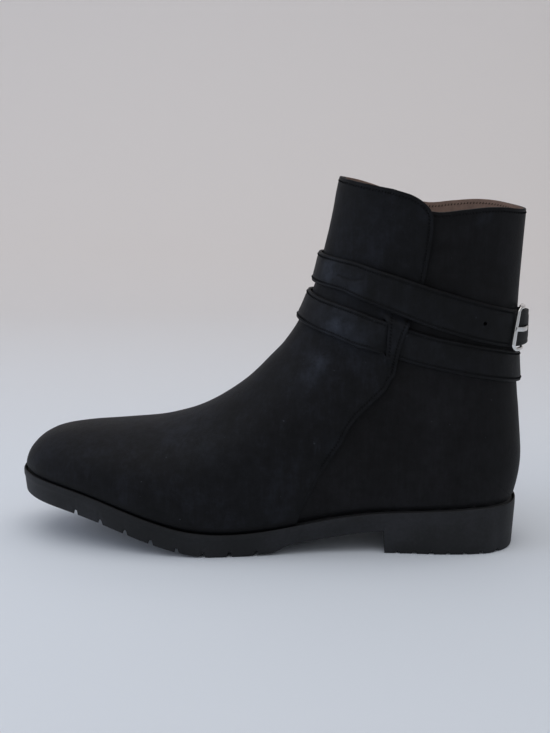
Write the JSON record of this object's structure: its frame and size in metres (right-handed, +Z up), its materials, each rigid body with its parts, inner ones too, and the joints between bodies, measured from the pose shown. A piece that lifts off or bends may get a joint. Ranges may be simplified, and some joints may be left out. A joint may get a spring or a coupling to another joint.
{
  "type": "jodhpur boot",
  "caption": "Ankle boot with an overlapping front piece, a strap wound round the leg to a side buckle, and a lugged rubber sole with a low heel.",
  "frame": {"origin": "centre of the boot's footprint box, on the floor", "axes": "+X from toe to heel, +Y to the inner (medial) side of this left boot, +Z up"},
  "size_m": [0.3056, 0.0972, 0.2183],
  "materials": {
    "leather": "black waxed nubuck with a faint grey bloom",
    "lining": "natural tan lining leather",
    "rubber": "matt black moulded rubber",
    "metal": "polished nickel plate",
    "thread": "black waxed thread"
  },
  "bodies": {
    "root": {"outsole": "rubber", "insole": "lining", "upper": "leather", "vamp": "leather", "strap": "leather", "buckle_frame": "metal", "buckle_prong": "metal", "buckle_tab": "leather", "strap_keeper": "leather"}
  },
  "joints": []
}
